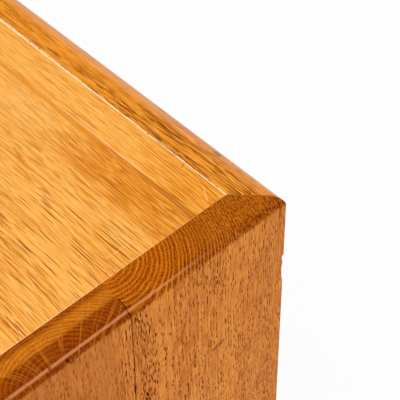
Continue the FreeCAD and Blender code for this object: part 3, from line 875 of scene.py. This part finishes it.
def strip_marks(state):
    shader, wood = state["shader"], state["wood"]
    x, y, _ = from_corner(state)
    near = x.ramp(-70.0, -10.0)
    ragged = shader.noise(shader.vector(x / 3.0, y / 0.6, 2.0), 2.0)
    # Pale line in the joint to the apron: pale dust, painted paler still as a highlight along the edge.
    gap_fill_and_highlight = y.near(0.0, x.ramp(-90.0, -150.0, 0.42, 0.65), 0.4) * ragged.ramp(0.28, 0.5)
    dusty = gap_fill_and_highlight * (x.near(-46.0, 6.0, 4.0) * ragged.ramp(0.62, 0.42))
    state["face"] = shader.layers(
        state["face"],
        (near * 0.5, srgb(242, 150, 16)),
        (near * wood["line"].ramp(0.49, 0.58) * 0.7, srgb(178, 88, 2)),
        (y.near(SEAM, 0.4, 0.7) * x.ramp(-62.0, -28.0) * 0.7, srgb(150, 72, 8)),
        (y.near(SEAM + 1.0, 0.2, 0.6) * x.near(-76.0, 22.0, 25.0) * 0.4, srgb(250, 198, 146)),
        (gap_fill_and_highlight * 0.9, srgb(255, 226, 180)),
        (dusty * 0.8, srgb(150, 100, 90)),
        (stroke(x, y, *STRIP_SCRATCH, 0.08, 0.25) * 0.65, srgb(255, 210, 140)),
        (stroke(x, y, *TICK, 0.14, 0.3) * 0.75, srgb(140, 62, 4)))


oak_field = oak("oak_field", "x", (mm(IN_Y) - 640.0, mm(TOP_Z) - 220.0), like(
    OAK, clouds=0.3, streaks=0.6, lines=0.85, pore=srgb(138, 50, 0),
    grain=dict(pitch=3.0, pore_size=0.7, pore_length=24.0, pore_width=0.20, line_size=0.5, line_length=18.0,
               sway=1.4)), (field_marks,))
oak_strip = oak("oak_strip", "x", (mm(IN_Y) + 90.0, mm(TOP_Z) - 300.0), like(
    OAK, light=srgb(250, 178, 78), warm=srgb(240, 158, 54), lines=0.85, pores=0.4, streaks=0.5, clouds=0.3,
    pore=srgb(164, 66, 0),
    grain=dict(pitch=2.0, pore_size=0.7, pore_length=16.0, line_size=0.6, line_length=26.0, sway=0.4)),
    (strip_marks,))

# %% [markdown]
# ## Oak of the apron, the rail and the rest
#
# The apron has the darkest and shortest dashes, in clusters, and on its roll a dull pink reflection is
# painted.
# A fine noise draws the dashes and a wide one the clusters, because the pores alone lie too evenly.  A dent
# is painted, and pressed in with relief.  The drawer fronts and the boards further off need no marks.

# %% Apron, rail, drawer fronts and case
DENT = (-25.0, 17.0)


def apron_marks(state):
    shader = state["shader"]
    x, y, z = from_corner(state)
    clusters = shader.noise(shader.vector(x / 44.0, y / 3.4, z / 3.4), 2.0)
    short = shader.noise(shader.vector(x / 13.0, y / 0.55, z / 0.55), 2.0)
    dark = short.ramp(0.47, 0.54) * clusters.ramp(0.40, 0.56) * y.ramp(15.0, 9.0, 0.25, 1.0)
    dark = dark * (0.95 - x.near(-180.0, 40.0, 70.0) * 0.3)
    dent = x.near(DENT[0], 1.6, 1.8) * y.near(DENT[1], 0.5, 1.0)
    # Painted reflection: pale pink near the top of the roll, where it turns away and mirrors the white room
    # at a grazing angle.
    grazing_reflection = y.ramp(11.5, 16.5) * z.ramp(-2.0, -0.6)
    ragged = shader.noise(shader.vector(x / 3.0, 0.0, 6.0), 2.0).ramp(0.34, 0.50)
    # Pale line at the apron's inner edge: pale dust in the joint, painted paler still as a highlight.
    apron_fill_and_highlight = y.near(0.0, x.ramp(-90.0, -150.0, 0.1, 0.5), 0.5) * z.ramp(-1.6, -0.8) * ragged
    # Painted sheen: the same pink lower on the roll; the extra coat there is real gloss.
    over = z.ramp(-0.1, -2.4) * z.ramp(-9.0, -6.0)
    state["face"] = shader.layers(
        state["face"],
        (x.near(-170.0, 40.0, 100.0) * 0.5, srgb(244, 153, 34)),
        (dark, srgb(122, 46, 0)),
        (dent * 0.85, srgb(84, 50, 34)),
        (grazing_reflection * x.ramp(0.0, -50.0, 0.25, 0.45), srgb(226, 160, 122)),
        (apron_fill_and_highlight * 0.75, srgb(255, 222, 178)),
        (over * 0.5, srgb(226, 164, 130)))
    state["coat"] = state["coat"] * (1.0 - dark * 0.8) + over * 0.6
    state["height"] = state["height"] - dent * 4.0


oak_apron = oak("oak_apron", "x", (mm(IN_Y) + 11.0, mm(TOP_Z) - 160.0), like(
    OAK, light=srgb(244, 158, 38), deep=srgb(222, 126, 14), line=srgb(156, 70, 0), pore=srgb(120, 46, 0),
    lines=0.9, streaks=0.8, fibres=0.3,
    grain=dict(pitch=1.8, pore_size=0.8, pore_length=14.0, line_size=0.65, line_length=22.0, sway=0.6)),
    (apron_marks,))
oak_front = oak("oak_drawer_front", "x", (mm(FRONT_Y) + 140.0, 480.0), like(
    OAK, clouds=0.35, figure=0.45, grain=dict(pitch=3.4, pore_size=0.9, pore_length=26.0, pore_width=0.16)))
oak_case = oak("oak_case", "x", (60.0, -90.0), like(OAK, clouds=0.35, grain=dict(pitch=3.0)))

# %% [markdown]
# ## Inside the drawers
#
# The boxes are of a paler wood with small flecks, left with a thin matt seal, so that the tails of the
# dovetails stand out against the oak fronts.  A formula of its own isn't needed: the oak's does it with
# wider, shorter pores and other colours.  Runners, dowels and glue blocks are of the same kind of wood, a
# little browner.

# %% Box wood
BEECH = like(
    OAK, light=srgb(226, 184, 130), deep=srgb(216, 170, 114), warm=srgb(206, 158, 104),
    pale=srgb(234, 198, 148), line=srgb(196, 146, 92), pore=srgb(150, 98, 56), end=srgb(196, 148, 92),
    end_deep=srgb(172, 122, 70), end_line=srgb(214, 168, 112), end_pore=srgb(132, 84, 44),
    end_ray=srgb(222, 178, 122),
    streaks=0.6, figure=0.25, clouds=0.4, fibres=0.4, lines=0.35, pores=0.6, coat=0.05, roughness=0.55,
    grain=dict(pitch=3.2, pore_size=1.3, pore_length=3.0, pore_width=0.05, sway=0.5))
box_side = oak("box_wood_lengthwise", "y", (330.0, 420.0), BEECH)
box_back = oak("box_wood_crosswise", "x", (190.0, 470.0), BEECH)
RUNNER = like(BEECH, light=srgb(210, 160, 104), deep=srgb(196, 144, 88), warm=srgb(184, 130, 76), coat=0.0)
runner_wood = oak("runner_wood", "y", (-60.0, 400.0), RUNNER)
dowel_wood = oak("dowel_wood", "x", (25.0, 300.0), RUNNER)

# %% [markdown]
# ## Plywood and glides
#
# Bottoms and back board are plywood: veneer on their faces and plies on their edges.  Veneer is peeled from
# the trunk, so its grain hardly changes with the depth in the board.  The glides under the desk are of brown
# plastic, scuffed by the floor.  Both could be one flat colour, but would then look like card and paint.

# %% Plywood and plastic
PLY = 1.2


def plywood(name, thin, axis):
    """Birch plywood; thin is the axis across the plies and axis the grain of its faces."""
    shader = new_shader(name)
    place = shader.place()
    across = "xyz".index(thin)
    edge = abs(shader.facing()[across]).ramp(0.6, 0.3)
    i, j, k = CROSS[axis]
    wood = grain(shader, place[i], place[j] + 90.0, place[k] * 0.3 + 60.0, pitch=6.0, pore_size=1.1,
                 pore_length=5.0, pore_width=0.02)
    face = shader.layers(
        srgb(232, 200, 152),
        (wood["streak"].ramp(0.3, 0.7), srgb(222, 184, 132)),
        (wood["ring"].near(0.4, 0.1, 0.3) * 0.4, srgb(204, 160, 106)),
        (wood["line"].ramp(0.5, 0.66) * 0.4, srgb(206, 164, 112)),
        (wood["pores"] * 0.5, srgb(164, 118, 70)))
    ply = (place[across] / PLY + wood["fibre"] * 0.12).fract()
    plies = shader.mix(ply.near(0.5, 0.18, 0.06), srgb(206, 164, 112), srgb(150, 104, 62))
    height = wood["fibre"] * 0.2 - wood["pores"]
    return shader.finish(shader.mix(edge, face, plies), wood["fibre"] * 0.15 + 0.55, height, 0.05, 0.2)


def plastic(name):
    shader = new_shader(name)
    x, y, z = shader.place()
    mottle = shader.noise(shader.vector(x / 2.0, y / 2.0, z / 2.0), 3.0)
    scuff = shader.noise(shader.vector(x / 0.3, y / 1.5, z / 3.0), 2.0)
    color = shader.layers(
        srgb(84, 62, 46),
        (mottle.ramp(0.35, 0.65), srgb(98, 74, 56)),
        (scuff.ramp(0.62, 0.72) * 0.4, srgb(132, 108, 88)))
    return shader.finish(color, scuff * 0.2 + 0.38, mottle * 0.3 + scuff * 0.5, 0.04, 0.5)


ply_level = plywood("plywood_bottoms", "z", "x")
ply_upright = plywood("plywood_back_board", "y", "z")
glide_plastic = plastic("glide_plastic")

# %% [markdown]
# ## Dressing the boards
#
# The CAD boards carry a plain material that tells what kind of stuff they are made of.  Each board is
# dressed by that kind first, and the ones that need a grain of their own by name after it.  Names alone
# would miss a board as soon as a drawer is added.

# %% A material for every board


def one_material(mesh, material):
    mesh.materials.clear()
    mesh.materials.append(material)


def dress(names, material):
    for name in names:
        one_material(nodes[name].data, material)


def with_slot(slot):
    """Names of the CAD boards whose finish is one of the record's slots."""
    return [name for name, node in nodes.items() if node.data.materials[0].name.split(".")[0] == slot]


def fit(piece, body, material, node):
    """Gives a finished piece its material, and puts it in the place of its CAD node."""
    one_material(piece.data, material)
    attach(piece, body)
    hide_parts(node)
    print(piece.name, len(piece.data.polygons), "faces")


slots = {slot: with_slot(slot) for slot in ("drawer_wood", "hardwood", "plywood", "glide_plastic")}
print({slot: len(names) for slot, names in slots.items()})
dress([name for name in nodes if not any(name in names for names in slots.values())], oak_case)
dress(slots["drawer_wood"], box_side)
dress([name for name in slots["drawer_wood"] if name.endswith("_back")], box_back)
dress(slots["hardwood"], runner_wood)
dress(["carcass_dowels", "glue_blocks"], dowel_wood)
dress(slots["plywood"], ply_level)
dress(["pedestal_back_board", "mitre_splines"], ply_upright)
dress(slots["glide_plastic"], glide_plastic)
dress([name for name in nodes if name.endswith("_drawer_front")], oak_front)
dress(["pedestal_side"], oak_side)
dress(["top_field"], oak_field)
dress(["top_strip_back", "top_strip_front"], oak_strip)

for piece, material, node in (
        (panel_right, oak_panel, "end_panel_right"), (panel_left, oak_panel, "end_panel_left"),
        (apron, oak_apron, "back_apron"), (rail, oak_apron, "front_rail")):
    smooth(piece)
    fit(piece, "carcass", material, node)
bpy.data.objects.remove(form)

# %% [markdown]
# ## Pulls
#
# The CAD pulls have the right form, a bar with a hollow for the fingers and a tenon, but sharp edges that a
# hand would feel at once.  Modelling them anew could miss the form, so one is copied, its loose triangles
# are merged back into faces, and its sharp edges are rounded by a bevel that works by angle.  The others are
# copies of that one, moved to where their own CAD pulls are.

# %% Softened pulls
PULL_EASE = 0.8 * MM
SAME_FACE, SHARP_EDGE = math.radians(1.0), math.radians(38.0)
oak_pull = oak("oak_pull", "x", (mm(FRONT_Y) - 60.0, 560.0), like(
    OAK, clouds=0.3, light=srgb(246, 172, 72), deep=srgb(234, 156, 54), coat=0.3,
    grain=dict(pitch=2.6, pore_size=0.8, pore_length=16.0)))


def softened(node, name):
    """Copy of a CAD node with eased edges.  It drops the notes that mark the original as a CAD node."""
    piece = duplicate(nodes[node], name)
    for key in list(piece.keys()):
        del piece[key]
    pick(piece)
    bpy.ops.object.mode_set(mode="EDIT")
    bpy.ops.mesh.select_all(action="SELECT")
    bpy.ops.mesh.remove_doubles(threshold=WELD)
    bpy.ops.mesh.dissolve_limited(angle_limit=SAME_FACE)
    bpy.ops.object.mode_set(mode="OBJECT")
    modify(piece, "ease", "BEVEL", width=PULL_EASE, segments=3, limit_method="ANGLE", angle_limit=SHARP_EDGE)
    return piece


pull_nodes = [name for name in nodes if "_drawer_pull" in name]
first_pull = softened(pull_nodes[0], "pull_pattern")
smooth(first_pull, 40.0)
for node in pull_nodes:
    piece = duplicate(first_pull, node + "_eased")
    piece.data.transform(Matrix.Translation(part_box(node)[0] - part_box(pull_nodes[0])[0]))
    fit(piece, node.split("_pull")[0], oak_pull, node)
bpy.data.objects.remove(first_pull)

# %% [markdown]
# ## Pins under the drawer bottoms
#
# Each plywood bottom slides in from behind under the back of its box, and is held there by steel pins driven
# up through it.  Only their heads show, when a drawer is pulled out and looked at from below.  One pin is
# drawn from a disc and copied along each back, and the copies are joined, so that a row is one piece.

# %% Pins
PIN = {"head": 1.7 * MM, "rise": 0.5 * MM, "ease": 0.3 * MM, "shank": 0.75 * MM, "length": 14.0 * MM,
       "margin": 40.0 * MM, "spacing": 140.0 * MM}


def steel(name):
    shader = new_shader(name)
    x, y, z = shader.place()
    dull = shader.noise(shader.vector(x / 0.6, y / 0.6, z / 0.6), 3.0)
    color = shader.mix(dull.ramp(0.4, 0.65), srgb(176, 172, 166), srgb(128, 120, 110))
    return shader.finish(color, dull * 0.3 + 0.3, dull, 0.03, 0.5, metallic=0.9)


def pin_pattern():
    """Pin with its head just under the origin: a disc, its upper face drawn in and extruded to the shank."""
    bpy.ops.object.select_all(action="DESELECT")
    bpy.ops.mesh.primitive_cylinder_add(vertices=16, radius=PIN["head"], depth=PIN["rise"],
                                        location=(0, 0, -PIN["rise"] / 2.0))
    disc = settled()
    disc.name = disc.data.name = "pin"
    edit(disc, "FACE", lambda middle, normal: normal.z > 0.9)
    bpy.ops.mesh.inset(thickness=PIN["head"] - PIN["shank"])
    bpy.ops.mesh.extrude_region_move(TRANSFORM_OT_translate={"value": (0, 0, PIN["length"])})
    bpy.ops.object.mode_set(mode="OBJECT")
    round_edges(disc, PIN["ease"], 3, lambda middle, way: middle.z < -0.9 * PIN["rise"])
    return disc


def pin_row(drawer, low, high):
    """Pins through a drawer bottom, between two corners of its box, into the middle of the drawer's back."""
    back_low, back_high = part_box(drawer + "_back")
    run = high.x - low.x - 2.0 * PIN["margin"]
    count = round(run / PIN["spacing"]) + 1
    row = [duplicate(pin, drawer + "_bottom_pins") for _ in range(count)]
    for number, each in enumerate(row):
        x = low.x + PIN["margin"] + run * number / (count - 1)
        each.data.transform(Matrix.Translation((x, (back_low.y + back_high.y) / 2.0, low.z)))
    pick(row[0])
    for each in row:
        each.select_set(True)
    bpy.ops.object.join()
    print(bpy.context.object.name, count, "pins")
    return bpy.context.object


pin = pin_pattern()
pin_steel = steel("pin_steel")
for bottom in [name for name in nodes if name.endswith("_drawer_bottom")]:
    drawer = bottom[:-len("_bottom")]
    pins = pin_row(drawer, *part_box(bottom))
    smooth(pins)
    one_material(pins.data, pin_steel)
    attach(pins, drawer)
bpy.data.objects.remove(pin)

# %% [markdown]
# ## Floor
#
# A wide plain floor, pale as a studio sweep.  Lit by the lamps alone it would turn grey far out, so most of
# what the camera sees of it is its own white.  The rest is lit, so that the desk still stands in its own
# soft shadow.

# %% Floor
FLOOR_SIDE = 40.0
OWN_WHITE = 0.93
PAPER = (0.95, 0.95, 0.95, 1.0)

bpy.ops.object.select_all(action="DESELECT")
bpy.ops.mesh.primitive_plane_add(size=FLOOR_SIDE, location=(0, 0, 0))
floor = bpy.context.object
floor.name = "floor"
sweep = new_shader("studio_floor")
matt = sweep.add("ShaderNodeBsdfDiffuse", None, {"Color": PAPER})
glow = sweep.add("ShaderNodeEmission", None, {"Color": WHITE, "Strength": 1.0})
cover = sweep.add("ShaderNodeMixShader", None, {
    0: sweep.looked_at() * OWN_WHITE, 1: matt.outputs[0], 2: glow.outputs[0]})
sweep.add("ShaderNodeOutputMaterial", None, {"Surface": cover.outputs[0]})
floor.data.materials.append(sweep.owner)
print("floor", FLOOR_SIDE, "m wide, own white", OWN_WHITE)
